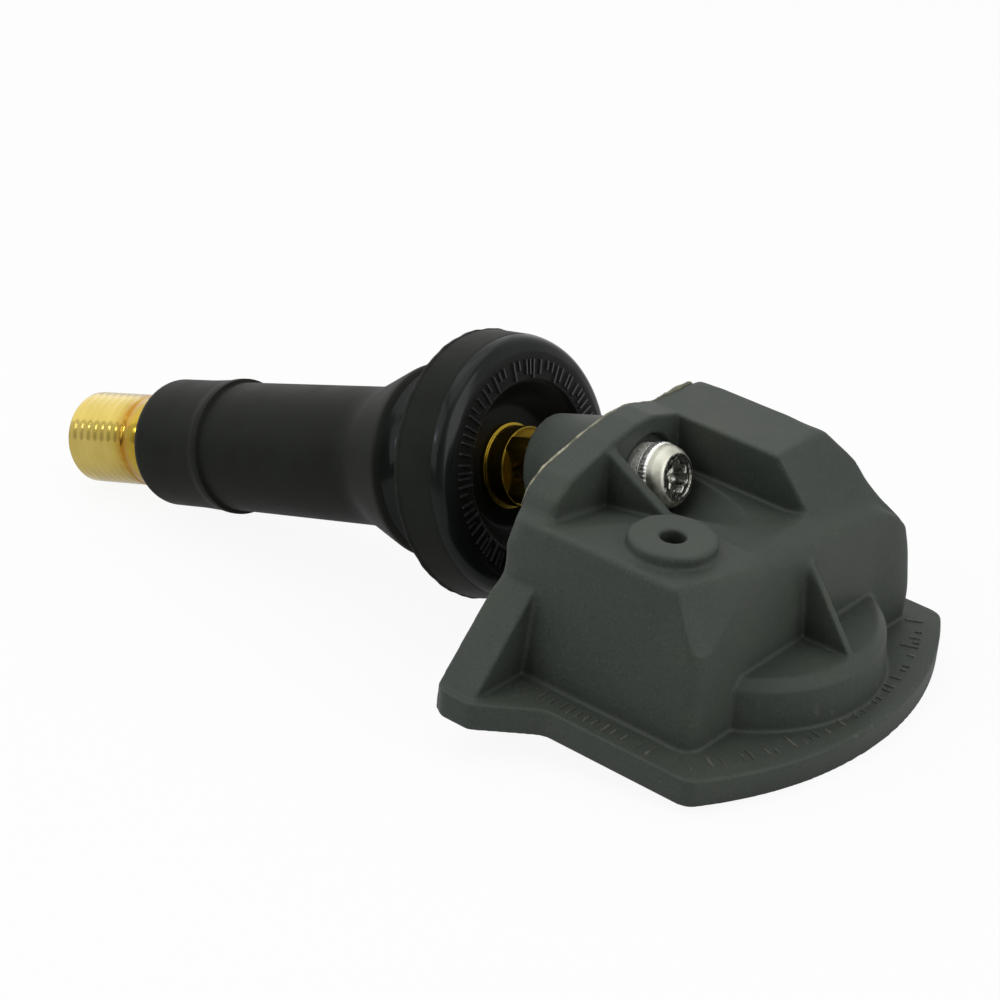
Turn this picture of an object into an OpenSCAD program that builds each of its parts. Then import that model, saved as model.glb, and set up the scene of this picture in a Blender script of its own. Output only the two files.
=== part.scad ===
// Snap-in tyre pressure sensor: a moulded electronics housing screwed to the
// inner end of a rubber covered brass valve.
// The pieces are built on two rigs. The plate rig has the housing's base plate
// flat on z = 0, with +X from the valve towards the far end of the housing.
// The valve rig has +Z along the valve, from the flange towards the tip, with
// z = 0 at the front edge of the rubber flange.
// at_rest() then lays the whole sensor on a table, on the tip of its valve and
// the end of its base plate, with the origin where the rim grips the rubber.

/* [Valve] */
// Tilt of the valve against the base plate, in degrees
valve_tilt = 18.3; // [14:0.1:22]
// Height of the valve axis above the underside of the plate, over x = 0
valve_height = 9.26; // [8.6:0.01:10]
// Length of the valve from the flange's front edge to the tip
valve_length = 48.1; // [44:0.1:54]
// Outside diameter of the valve thread
thread_d = 7.7; // [7.4:0.05:8]
// Length of thread left bare of rubber at the tip
thread_bare = 10; // [8:0.5:13]
// Chamfer on the mouth of the valve
tip_chamfer = 0.4; // [0.2:0.05:0.6]
// Diameter of the brass stem inside the rubber
stem_d = 6.2; // [5.8:0.1:6.6]
// Diameter of the brass collar in the flange
collar_d = 6.1; // [5.9:0.05:6.2]
// Diameter of the small ring at the collar's foot
ring_d = 6.6; // [6.4:0.05:6.8]
// Distance of the groove that keys the rubber to the stem from the flange's front edge
key_place = 16; // [15:0.5:24]
// Width of the keying groove at its bottom
key_w = 1.6; // [1:0.1:2.4]
// Depth of the keying groove
key_depth = 0.4; // [0.2:0.05:0.5]
// Width across the four flats at the inner end of the brass stem
flats_w = 5; // [4.8:0.05:5.2]
// How far the flats reach past the flange's front edge
flats_reach = 6.5; // [6:0.1:7]
// Turn of the flats about the valve axis, in degrees
flats_turn = 11; // [0:1:20]
// Diameter of the air way through the stem
air_way_d = 3; // [2.6:0.1:3.2]
// Diameter of the vent drilled across the flats
vent_d = 1.8; // [1.4:0.1:2]

/* [Rubber] */
// Diameter of the rubber where the thread comes out
rubber_tip_d = 10.56; // [10:0.1:11]
// Diameter of the raised ring on the rubber
ridge_d = 11.16; // [11:0.05:11.6]
// Distance of the raised ring from the flange's front edge
ridge_place = 30.05; // [26:0.05:31]
// Width of the raised ring's crest
ridge_w = 0.7; // [0.3:0.1:1]
// Diameter of the rubber stem just before it widens
root_d = 11; // [10.6:0.1:11.4]
// Distance from the flange's front edge to where the stem widens
root_place = 13.4; // [12.6:0.1:15]
// Diameter of the widest part of the snap-in bulge
bulge_d = 15.2; // [14.6:0.1:16]
// Distance of the bulge from the flange's front edge
bulge_place = 8.2; // [7.6:0.1:9]
// Diameter at the bottom of the rim groove
groove_d = 13.3; // [12.6:0.1:14]
// Width of the rim groove
groove_w = 2.8; // [2:0.1:3]
// Diameter of the flange at its back edge
flange_d = 20.6; // [19:0.1:21.5]
// Thickness of the flange's rim
flange_t = 3.7; // [3.2:0.1:4]
// How much narrower the flange is at its front edge
flange_taper = 0.92; // [0.4:0.02:1.4]
// How far the flange's front face stands past its front edge
face_rise = 0.9; // [0.5:0.1:1.2]
// Diameter of the hollow in the flange's front face
hollow_d = 12.8; // [11.6:0.1:13.4]
// Depth of the hollow below the flange's front edge
hollow_depth = 1.3; // [1:0.1:1.6]

/* [Valve core] */
// Diameter of the bore that takes the core's threaded plug
core_bore_d = 5.4; // [5.2:0.05:5.6]
// Diameter of the bore below the core's seat
seat_bore_d = 4.2; // [3.9:0.05:4.4]
// Distance of the core's seat from the valve's tip
core_depth = 6.6; // [6.2:0.1:7]
// Length of the tapered seat
seat_l = 0.9; // [0.7:0.05:1]
// Distance of the threaded plug from the valve's tip
plug_sink = 1.2; // [0.8:0.1:1.3]
// Length of the threaded plug
plug_length = 3.6; // [3:0.1:4.4]
// Length of the core barrel
barrel_length = 5.5; // [5:0.1:6.5]
// Outside diameter of the core barrel
barrel_d = 3.5; // [3.2:0.05:3.6]
// Diameter of the valve pin
pin_d = 1.1; // [1:0.05:1.2]
// Travel of the valve pin when it is pressed
pin_travel = 1.2; // [0.8:0.1:1.4]
// Thickness of the ring that seals the core
core_seal_t = 0.7; // [0.6:0.05:0.8]
// Height of the cup on the valve pin
cup_h = 1.1; // [1:0.05:1.3]
// Diameter of the cup on the valve pin
cup_d = 3.5; // [3.2:0.05:3.7]
// Wall of the cup around its seal
cup_wall = 0.2; // [0.15:0.01:0.3]
// Thickness of the barrel's lip under the spring
lip_t = 0.8; // [0.6:0.05:1]
// Bore of the core barrel
barrel_bore_d = 2.3; // [2.2:0.05:2.4]
// Thickness of the collar on the pin that the spring presses
pin_collar_t = 0.5; // [0.4:0.05:0.6]
// Depth of the air slots along the threaded plug
slot_depth = 0.5; // [0.3:0.05:0.6]
// Wire diameter of the core spring
core_wire_d = 0.26; // [0.22:0.01:0.3]
// Turns of the core spring
core_turns = 5; // [4:1:6]

/* [Base plate] */
// Thickness of the base plate
plate_t = 2.15; // [1.9:0.05:2.6]
// Width of the base plate
plate_w = 32.2; // [31.2:0.1:33.5]
// Radius of the plate's rounded end
plate_end_r = 28.4; // [27.5:0.1:30]
// Distance of the plate's end from the valve's x = 0
plate_end_x = 33.3; // [32.8:0.1:35]
// Height of the small flat under the plate's end, on which the sensor lies
rest_flat_h = 0.1; // [0.06:0.01:0.15]
// Radius on the plate's corners
plate_corner_r = 1.3; // [0.8:0.1:1.6]
// Width over the two ears at the stem side
ears_w = 38.8; // [37:0.1:41]
// Length of the straight side of an ear
ear_side = 3.4; // [2.8:0.1:4.4]
// Angle of the ear's sloping edge, in degrees
ear_slope = 38; // [30:1:45]

/* [Housing] */
// Position of the wall on the stem side
wall_x = 8.4; // [8:0.1:8.8]
// Thickness of the wall on the stem side
wall_t = 3.3; // [3:0.1:3.6]
// Lean of the stem wall's inner face, in degrees
wall_lean = 4.3; // [2:0.1:5]
// Height at which that lean starts
lean_z = 8; // [7:0.1:9]
// Length of the housing body, measured on the plate
body_l = 18.1; // [17.8:0.1:18.8]
// Width of the body on the port's side of the valve, measured on the plate
near_w = 13.5; // [13.2:0.1:13.9]
// Width of the body on the raised block's side, measured on the plate
far_w = 14.3; // [14:0.1:14.8]
// Draft of the moulded walls, in degrees
draft = 7; // [4:0.5:8]
// Draft of the wall on the raised block's side, in degrees
far_draft = 3; // [1:0.5:5]
// Radius on the housing's upright corners
corner_r = 1.3; // [0.8:0.1:2]
// Height of the flat deck that carries the pressure port
deck_z = 13.3; // [13:0.05:13.8]
// Height of the small ledge at the foot of the near corner's facet
facet_foot_z = 9.15; // [8.8:0.05:9.6]
// Height of the crest over the valve
crest_z = 17.5; // [17.2:0.1:18]
// Height of the raised block on the far side
block_z = 16.6; // [16.1:0.05:16.8]
// Length of the flat top of the raised block
block_l = 11.5; // [10.5:0.1:12]
// Slope of the block's end, in degrees
block_slope = 47.6; // [42:0.2:52]
// Diameter of the round pad at the pressure port
pad_d = 6.4; // [5.8:0.1:6.8]
// Height of the pad above the deck
pad_h = 0.95; // [0.6:0.05:1.2]
// Diameter of the pressure port
port_d = 1.86; // [1.6:0.02:2]
// Distance of the port from the housing's middle plane
port_y = 7.75; // [7.4:0.05:7.9]
// Distance of the port from the stem wall
port_reach = 10.9; // [10.6:0.1:11.4]
// Thickness of the thin rib beside the screw pocket
rib_t = 0.9; // [0.7:0.05:1.1]
// Length of the thin rib
rib_l = 5.9; // [5:0.1:6.4]
// Width of the screw pocket
pocket_w = 7.6; // [7.2:0.1:8]
// Depth of the screw pocket below the deck
pocket_depth = 0.65; // [0.4:0.05:0.9]
// Thickness of the wall around the coin cell
cell_wall_t = 1.1; // [1:0.05:1.4]
// Distance of the coin cell's middle from the stem wall
cell_reach = 11.9; // [11.6:0.05:12.1]
// Distance of the coin cell from the housing's middle plane
cell_y = 0.4; // [0:0.1:0.5]
// Height of the half-round bulge over the coin cell
cell_wall_z = 5.85; // [5.6:0.05:6.2]
// Thickness of the upright rib on the end wall
end_rib_t = 0.6; // [0.4:0.05:0.9]
// Diameter of the neck that takes the brass stem
neck_d = 8.3; // [8:0.05:8.6]
// Gap between the flange's front edge and the neck
neck_gap = 3.6; // [3.2:0.1:4]

/* [Fixing screw] */
// Thread diameter of the fixing screw
screw_d = 2.5; // [2.4:0.05:2.6]
// Diameter of the collar under the screw head
head_d = 5; // [4.8:0.05:5.2]
// Height of the collar under the screw head
head_collar_h = 0.75; // [0.5:0.05:0.9]
// Diameter of the flat face of the domed screw head
face_d = 3.4; // [3.3:0.05:3.6]
// Height of the dome above its collar
dome_h = 1.1; // [0.9:0.05:1.3]
// Width across the lobes of the drive recess
drive_w = 2.4; // [2.2:0.05:2.6]
// Diameter of the lock washer
washer_d = 4.8; // [4.6:0.05:5]
// Thickness of the lock washer
washer_t = 1.15; // [0.8:0.05:1.2]
// Diameter of the screwdriver way
access_d = 6.2; // [5.8:0.1:6.6]
// Distance of the washer's seat from the flange's front edge
screw_seat = 11.8; // [11.6:0.05:11.9]
// Length of thread that the screw has inside the stem
screw_grip = 2.9; // [2.4:0.1:3.2]

/* [Electronics] */
// Diameter of the coin cell
cell_d = 20; // [19.6:0.1:20]
// Thickness of the coin cell
cell_t = 3.2; // [2.8:0.1:3.3]
// Height of the coin cell's underside
cell_z = 1.7; // [1.6:0.05:1.8]
// Width of the step around the cell's cap
cell_step = 1.2; // [0.8:0.1:1.6]
// Height of the cell's cap
cell_cap_h = 0.3; // [0.2:0.05:0.5]
// How deep the sealing compound lies inside the plate's underside
seal_sink = 0.3; // [0.1:0.05:0.4]
// Thickness of the spring tabs
tab_t = 0.2; // [0.15:0.01:0.25]
// Width of the spring tabs
tab_w = 3; // [2:0.1:4]
// Gap between the cell's side and the legs of the tabs
tab_gap = 0.15; // [0.1:0.01:0.2]
// Distance of the tabs' free ends from the middle of the cell
tab_in = 3; // [2:0.1:5]
// Distance of the tabs' middle from the far end of the board
tab_back = 3.9; // [2:0.1:5]
// How far the tabs reach under the board
tab_lap = 1; // [0.6:0.1:2]
// Thickness of the circuit board
board_t = 1; // [0.8:0.1:1.1]
// Height of the circuit board's underside
board_z = 7; // [6.6:0.1:7.1]
// Length of the circuit board
board_l = 11.4; // [11:0.1:11.4]
// Width of the circuit board
board_w = 22.2; // [21.8:0.1:22.2]
// Height of the room above the board
room_z = 8.95; // [8.9:0.05:9.1]
// Height of the tall rooms over the sensor chip and the coil
tall_room_z = 11.9; // [11.6:0.05:12]
// Side length of the sensor chip
chip_l = 5; // [4:0.1:5.2]
// Height of the sensor chip
chip_h = 2.9; // [2.6:0.1:3]
// Length of the ferrite core
ferrite_l = 5.6; // [5:0.1:5.8]
// Side of the ferrite core's square ends
ferrite_w = 2.4; // [2:0.1:2.6]
// Distance of the antenna strip from the board's edge
strip_in = 2; // [1.8:0.1:2.2]
// Outside diameter of the gasket over the chip's port
gasket_d = 3.6; // [3.2:0.1:4]
// Width of the antenna strip
strip_w = 1; // [0.8:0.05:1.1]

/* [Fits] */
// Running clearance on the radius of turned pieces
turn_clear = 0.03; // [0.02:0.01:0.08]
// Clearance around the pieces held in the housing
mould_clear = 0.1; // [0.05:0.01:0.15]

/* [Hidden] */
$fn = 64;
big = 80;
over = 0.01;

// Valve places, measured along the valve from the flange's front edge
rubber_tip = valve_length - thread_bare;
groove_top = bulge_place - 0.9;
groove_low = groove_top - groove_w;
rim_seat = (groove_top + groove_low) / 2;
thread_r = thread_d / 2;
seat_top = valve_length - core_depth;
seat_low = seat_top - seat_l;
flats_top = -0.7;
vent_place = flats_top - vent_d / 2 - 0.5;

// Core places
plug_top = valve_length - plug_sink;
plug_low = plug_top - plug_length;
barrel_low = plug_low - barrel_length;
core_room = barrel_low - pin_travel - 3.2;
collar_top = plug_low - 0.1;
spring_low = barrel_low + lip_t;
spring_length = collar_top - pin_collar_t - spring_low;

// Screw places
screw_tip = -flats_reach + screw_grip;
washer_top = -screw_seat - washer_t;
collar_face = washer_top - head_collar_h;
head_top = collar_face - dome_h;

// Housing places
wall_in_x = wall_x + wall_t;
body_end_x = wall_x + body_l;
wall_slope = tan(draft);
port_x = wall_x + port_reach;
block_y = pocket_w / 2 - 0.2;
rib_y = -pocket_w / 2 - 0.2;
pocket_z = deck_z - pocket_depth;
block_end_x = wall_x + block_l;
cell_x = wall_x + cell_reach;
cell_wall_r = cell_d / 2 + cell_wall_t;
cavity_l = board_l + 2 * mould_clear;
cavity_w = max(board_w, cell_d + 2 * (cell_y + tab_gap + tab_t)) + 2 * mould_clear;
cavity_x = wall_x + 4.3;
strip_y = board_w / 2 - strip_in - strip_w;
ferrite_y = strip_y - ferrite_w - 0.5;
tab_x = cavity_x + mould_clear + board_l - tab_back;
board_top = board_z + board_t;
plate_half_l = plate_end_x - plate_end_r;

// The sensor lies on the low side of the thread and the flat under the plate's end
function on_axis(s, up = 0) =
    [-s * cos(valve_tilt) - up * sin(valve_tilt), 0,
     valve_height - s * sin(valve_tilt) + up * cos(valve_tilt)];
touch = on_axis(valve_length - tip_chamfer, -thread_r);
rest_tilt = atan2(rest_flat_h - touch.z, plate_end_x - touch.x);
seat_point = on_axis(rim_seat);

module at_rest() {
    rotate([0, rest_tilt, 0]) translate(-seat_point) children();
}

module on_valve() {
    translate([0, 0, valve_height]) rotate([0, -90 - valve_tilt, 0]) children();
}

// A turned ring between two places on the valve
module tube(low, high, d_out, d_in = 0) {
    translate([0, 0, low]) difference() {
        cylinder(h = high - low, d = d_out);
        if (d_in > 0) translate([0, 0, -1]) cylinder(h = high - low + 2, d = d_in);
    }
}

// Everything above a plane that falls by tilt degrees towards its heading
module above(point, tilt, heading) {
    translate(point) rotate([0, tilt, heading]) translate([-big / 2, -big / 2, 0]) cube(big);
}

// A profile drawn in y and z, carried along x
module along_x(low, high) {
    translate([low, 0, 0]) rotate([90, 0, 90]) linear_extrude(high - low) children();
}

// A profile drawn in x and z, carried along y
module along_y(low, high) {
    translate([0, high, 0]) rotate([90, 0, 0]) linear_extrude(high - low) children();
}

module box(low, high) {
    translate(low) cube(high - low);
}

// Base plate with its ears, rounded end and soft corners
module plate_outline() {
    ear_y = ears_w / 2;
    ear_x = wall_x + ear_side;
    ear_run = (ear_y - plate_w / 2 + 1) / tan(ear_slope);
    offset(r = -2) offset(r = 2 + plate_corner_r) offset(delta = -plate_corner_r) {
        intersection() {
            translate([plate_half_l, 0]) circle(r = plate_end_r, $fn = 180);
            translate([wall_x, -plate_w / 2]) square([big, plate_w]);
        }
        for (side = [-1, 1])
            polygon([
                [wall_x, 0], [wall_x, side * ear_y], [ear_x, side * ear_y],
                [ear_x + ear_run, side * (plate_w / 2 - 1)], [ear_x + ear_run, 0]
            ]);
    }
}

// Everything under the table that the sensor lies on
module under_table() {
    translate([plate_end_x, 0, rest_flat_h]) rotate([0, -rest_tilt, 0])
        translate([-big / 2, -big / 2, -big]) cube(big);
}

// Side view of the crest: it falls from the valve to each shoulder
module crest_profile() {
    shoulder = near_w - 3.6;
    waist = near_w - 1;
    offset(r = 0.9) offset(delta = -0.9) polygon([
        [-waist, 0], [-waist, 11], [-shoulder - 0.6, 14.6], [-shoulder + 1, block_z - 0.9],
        [-4.4, block_z + 0.35], [-1.4, crest_z], [0.6, crest_z], [4, block_z],
        [shoulder, block_z], [waist, 10.3], [waist, 0]
    ]);
}

// Sloping webs that carry the ears on the stem wall
module wall_profile() {
    crest_profile();
    for (side = [-1, 1]) polygon([
        [0, 0], [side * (ears_w / 2 - 0.5), 0], [side * (ears_w / 2 - 0.6), plate_t],
        [side * (near_w - 1.3), 9.3], [side * (near_w - 3), 11], [0, 11]
    ]);
}

// Stem wall seen from the side, leaning back above the plate
module wall_section() {
    lean = (crest_z + 1 - lean_z) * tan(wall_lean);
    polygon([
        [wall_x, 0], [wall_in_x, 0], [wall_in_x, lean_z], [wall_in_x - lean, crest_z + 1],
        [wall_x, crest_z + 1]
    ]);
}

// Drafted block with rounded upright corners
module drafted_block() {
    height = crest_z + 1;
    rise = height - plate_t;
    back = wall_slope * rise;
    far_back = tan(far_draft) * rise;
    near_line = -near_w + corner_r;
    far_line = far_w - corner_r;
    hull() {
        for (x = [wall_x + corner_r, body_end_x - corner_r], y = [near_line, far_line])
            translate([x, y, plate_t - 1]) cylinder(h = 1, r = corner_r, $fn = 32);
        for (x = [wall_x + corner_r, body_end_x - corner_r - back])
            for (y = [near_line + back, far_line - far_back])
                translate([x, y, height]) cylinder(h = 1, r = corner_r, $fn = 32);
    }
}

// What the far side loses: a small step in the wall, then the lean of the raised block
module far_side_profile() {
    step_z = 7;
    polygon([
        [far_w - 0.2, step_z], [far_w - 0.9, step_z + 1.4], [far_w - 1.1, step_z + 2.6],
        [far_w - 1.7, step_z + 3.3], [near_w - 3.85, block_z], [near_w - 3.85, big], [big, big],
        [big, step_z]
    ]);
}

// Raised block on the far side of the screw pocket, with its sloping end
module far_block() {
    difference() {
        box([wall_x, block_y, 0], [body_end_x, far_w, block_z]);
        above([block_end_x, 0, block_z], block_slope, 0);
    }
}

// Deck with its sloping far end and the small facet on the near corner
module deck() {
    end_x = body_end_x - wall_slope * (deck_z - plate_t);
    near_y = -near_w + wall_slope * (deck_z - plate_t);
    difference() {
        box([wall_x, -near_w, 0], [body_end_x, far_w, deck_z]);
        above([end_x, near_y + 3.1, deck_z], 19.9, 13.2);
        difference() {
            above([end_x - 2.25, near_y, deck_z], 61.5, -20);
            box([0, -near_w, 0], [body_end_x, 0, facet_foot_z]);
        }
        above([end_x, far_w - 4.5, deck_z - 1.1], 33, 90);
    }
}

// Thin rib between the screw pocket and the corner pocket
module pocket_rib() {
    rib_x = wall_in_x - 0.6;
    along_y(rib_y - rib_t, rib_y)
        polygon([
            [rib_x - 1, deck_z - 3], [rib_x - 1, block_z], [rib_x, block_z],
            [rib_x + rib_l, deck_z], [rib_x + rib_l, deck_z - 3]
        ]);
}

// Pocket that the screwdriver reaches the screw through
module screw_pocket() {
    difference() {
        along_y(rib_y, block_y)
            polygon([
                [wall_x, pocket_z], [wall_in_x + 9.5, pocket_z], [wall_in_x + 12.4, deck_z],
                [wall_in_x + 12.4, big], [wall_x, big]
            ]);
        along_y(-ears_w, ears_w) wall_section();
    }
}

// Corner pocket with its floor falling towards the rib
module corner_pocket() {
    near_y = -near_w + wall_slope * (deck_z - plate_t);
    difference() {
        intersection() {
            box([wall_x, near_y, deck_z - 2], [wall_in_x + 6, rib_y - rib_t, deck_z + over]);
            above([wall_in_x - 0.2, near_y, deck_z], 12.8, 144);
        }
        along_y(-ears_w, ears_w) wall_section();
    }
}

// Half-round wall over the coin cell, with a bevelled rim
module cell_bulge() {
    bevel = 0.7;
    rim_r = cell_wall_r - 0.35;
    translate([cell_x, cell_y, 0]) {
        cylinder(h = plate_t, r = cell_wall_r);
        translate([0, 0, plate_t])
            cylinder(h = cell_wall_z - bevel - plate_t, r1 = cell_wall_r, r2 = rim_r);
        translate([0, 0, cell_wall_z - bevel]) cylinder(h = bevel, r1 = rim_r, r2 = rim_r - bevel);
    }
}

// Upright rib that stiffens the end wall over the bulge
module end_rib() {
    along_y(-end_rib_t / 2 + 0.3, end_rib_t / 2 + 0.3)
        polygon([
            [cell_x, plate_t], [cell_x + cell_wall_r - 1.3, plate_t],
            [cell_x + cell_wall_r - 1.3, cell_wall_z], [body_end_x - 0.6, deck_z - 1.6],
            [cell_x, deck_z - 1.6]
        ]);
}

// Rounded rooms for the cell, the board and the taller components
module rooms() {
    chip_room = chip_l / 2 + 0.3;
    translate([cell_x, cell_y, -1])
        cylinder(h = cell_z + cell_t + tab_t + mould_clear + 1, d = cell_d + 2 * mould_clear);
    box([cavity_x, -cavity_w / 2, -1], [cavity_x + cavity_l, cavity_w / 2, room_z]);
    box([port_x - chip_room, -port_y - chip_room, room_z - 1],
        [port_x + chip_room, -port_y + chip_room, tall_room_z]);
    box([cavity_x + 0.4, ferrite_y - 0.3, room_z - 1],
        [cavity_x + ferrite_l + 1.4, strip_y + strip_w + 0.3, tall_room_z]);
}

// Square section with turned corners, as milled on the stem's inner end
module flats_section(gap = 0) {
    rotate(flats_turn) intersection() {
        circle(d = collar_d + 2 * gap);
        square(flats_w + 2 * gap, center = true);
    }
}

module housing() {
    color([0.27, 0.29, 0.28]) at_rest() difference() {
        union() {
            linear_extrude(plate_t) plate_outline();
            intersection() {
                along_x(wall_x, wall_in_x) wall_profile();
                along_y(-ears_w, ears_w) wall_section();
            }
            intersection() {
                drafted_block();
                difference() {
                    union() {
                        deck();
                        far_block();
                        pocket_rib();
                    }
                    along_x(0, big) far_side_profile();
                }
            }
            cell_bulge();
            end_rib();
            translate([port_x, -port_y, deck_z - 1]) cylinder(h = pad_h + 1, d = pad_d);
            on_valve() tube(-(wall_in_x - 1), -neck_gap, neck_d);
        }
        screw_pocket();
        corner_pocket();
        rooms();
        under_table();
        translate([port_x, -port_y, tall_room_z - 1]) cylinder(h = big, d = port_d);
        on_valve() {
            translate([0, 0, -flats_reach]) linear_extrude(big) flats_section(turn_clear);
            tube(-screw_seat - 1, 0, screw_d + 4 * turn_clear);
            tube(-big / 2, -screw_seat, access_d);
        }
    }
}

module sealing_compound() {
    color([0.12, 0.12, 0.12]) at_rest() translate([0, 0, seal_sink])
        linear_extrude(cell_z - tab_t - seal_sink) union() {
            translate([cell_x, cell_y]) circle(d = cell_d + 2 * mould_clear - 2 * turn_clear);
            translate([cavity_x, -cavity_w / 2]) square([cavity_l, cavity_w]);
        }
}

// Cell can with the stepped cap of its other pole below
module coin_cell() {
    color([0.76, 0.77, 0.78]) at_rest() translate([cell_x, cell_y, cell_z]) {
        cylinder(h = cell_cap_h, d = cell_d - 2 * cell_step);
        translate([0, 0, cell_cap_h]) cylinder(h = cell_t - cell_cap_h, d = cell_d);
    }
}

// Spring tab: a foot on the cell, a leg up beside it and a lap under the board
module cell_tab(foot_z, side) {
    leg_y = cell_d / 2 + tab_gap;
    lap_y = min(leg_y, board_w / 2 - cell_y) - tab_lap;
    translate([0, cell_y, 0]) along_x(tab_x - tab_w / 2, tab_x + tab_w / 2)
        polygon([
            [side * tab_in, foot_z], [side * (leg_y + tab_t), foot_z],
            [side * (leg_y + tab_t), board_z], [side * lap_y, board_z],
            [side * lap_y, board_z - tab_t], [side * leg_y, board_z - tab_t],
            [side * leg_y, foot_z + tab_t], [side * tab_in, foot_z + tab_t]
        ]);
}

module cell_tab_lower() {
    color([0.72, 0.73, 0.74]) at_rest() cell_tab(cell_z - tab_t, -1);
}

module cell_tab_upper() {
    color([0.72, 0.73, 0.74]) at_rest() cell_tab(cell_z + cell_t, 1);
}

module circuit_board() {
    notch = 1.2;
    color([0.1, 0.35, 0.2]) at_rest()
        translate([cavity_x + mould_clear, -board_w / 2, board_z]) linear_extrude(board_t) difference() {
            square([board_l, board_w]);
            for (y = [0, board_w]) translate([board_l, y]) circle(r = notch);
        }
}

module sensor_chip() {
    boss_h = 0.5;
    color([0.09, 0.09, 0.1]) at_rest() translate([port_x, -port_y, board_top]) difference() {
        union() {
            translate([-chip_l / 2, -chip_l / 2, 0]) cube([chip_l, chip_l, chip_h - boss_h]);
            cylinder(h = chip_h, d = gasket_d + 0.2);
        }
        translate([0, 0, chip_h - 1]) cylinder(h = 2, d = port_d / 2);
    }
}

module port_gasket() {
    color([0.5, 0.12, 0.1]) at_rest() translate([port_x, -port_y, 0])
        tube(board_top + chip_h, tall_room_z, gasket_d, port_d + 0.1);
}

module ferrite_core() {
    end_t = 0.9;
    waist_w = ferrite_w - 1;
    color([0.2, 0.2, 0.2]) at_rest()
        translate([cavity_x + 1, ferrite_y, board_top]) union() {
            for (x = [0, ferrite_l - end_t]) translate([x, 0, 0]) cube([end_t, ferrite_w, ferrite_w]);
            translate([0, 0.5, 0.5]) cube([ferrite_l, waist_w, waist_w]);
        }
}

module coil_winding() {
    end_t = 0.9;
    wall = 0.4;
    waist_w = ferrite_w - 1;
    gap = turn_clear;
    color([0.7, 0.35, 0.15]) at_rest()
        translate([cavity_x + 1 + end_t + gap, ferrite_y, board_top])
            rotate([90, 0, 90]) linear_extrude(ferrite_l - 2 * end_t - 2 * gap) difference() {
                translate([0.5 - wall, 0.5 - wall]) square(waist_w + 2 * wall);
                translate([0.5 - gap, 0.5 - gap]) square(waist_w + 2 * gap);
            }
}

// Folded antenna strip that stands on two feet on the board
module antenna_strip() {
    strip_t = 0.3;
    span = ferrite_l;
    rise = 2.9;
    color([0.8, 0.66, 0.3]) at_rest() translate([cavity_x + 1, 0, board_top])
        along_y(strip_y, strip_y + strip_w) polygon([
            [0, 0], [strip_t, 0], [strip_t, rise - strip_t], [span - strip_t, rise - strip_t],
            [span - strip_t, 0], [span, 0], [span, rise], [0, rise]
        ]);
}

module crystal() {
    can_h = 0.7;
    color([0.8, 0.81, 0.82]) at_rest()
        translate([cavity_x + 1.2, -2.6, board_top]) cube([3.2, 2.5, can_h]);
}

module chip_capacitors() {
    count = 4;
    pitch = 1.8;
    color([0.62, 0.5, 0.36]) at_rest()
        for (i = [0 : count - 1])
            translate([cavity_x + 6.2, -3.2 + i * pitch, board_top]) cube([1.6, 0.8, 0.75]);
}

// Turned outline of the brass, from the tip to the collar
module stem_profile() {
    polygon([
        [0, flats_top], [collar_d / 2 - 0.1, flats_top], [collar_d / 2, flats_top + 0.1],
        [collar_d / 2, 1], [ring_d / 2, 1.2], [ring_d / 2, 1.5], [stem_d / 2, 1.6],
        [stem_d / 2, key_place], [stem_d / 2 - key_depth, key_place + key_depth],
        [stem_d / 2 - key_depth, key_place + key_depth + key_w],
        [stem_d / 2, key_place + 2 * key_depth + key_w],
        [stem_d / 2, rubber_tip], [thread_r, rubber_tip],
        [thread_r, valve_length - tip_chamfer], [thread_r - tip_chamfer, valve_length],
        [0, valve_length]
    ]);
}

module valve_stem() {
    color([0.85, 0.68, 0.3]) at_rest() on_valve() difference() {
        union() {
            rotate_extrude() stem_profile();
            translate([0, 0, -flats_reach]) linear_extrude(flats_reach + flats_top + over)
                flats_section();
        }
        tube(-flats_reach - 1, -flats_reach + screw_grip + 0.7, screw_d + 2 * turn_clear);
        tube(-flats_reach + screw_grip + 0.7 - over, seat_low, air_way_d);
        tube(core_room, seat_low + over, seat_bore_d);
        translate([0, 0, seat_low])
            cylinder(h = seat_top - seat_low, d1 = seat_bore_d, d2 = core_bore_d);
        tube(seat_top - over, valve_length + 1, core_bore_d);
        rotate(flats_turn) translate([0, 0, vent_place]) rotate([90, 0, 0])
            cylinder(h = 2 * collar_d, d = vent_d, center = true);
    }
}

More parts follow.
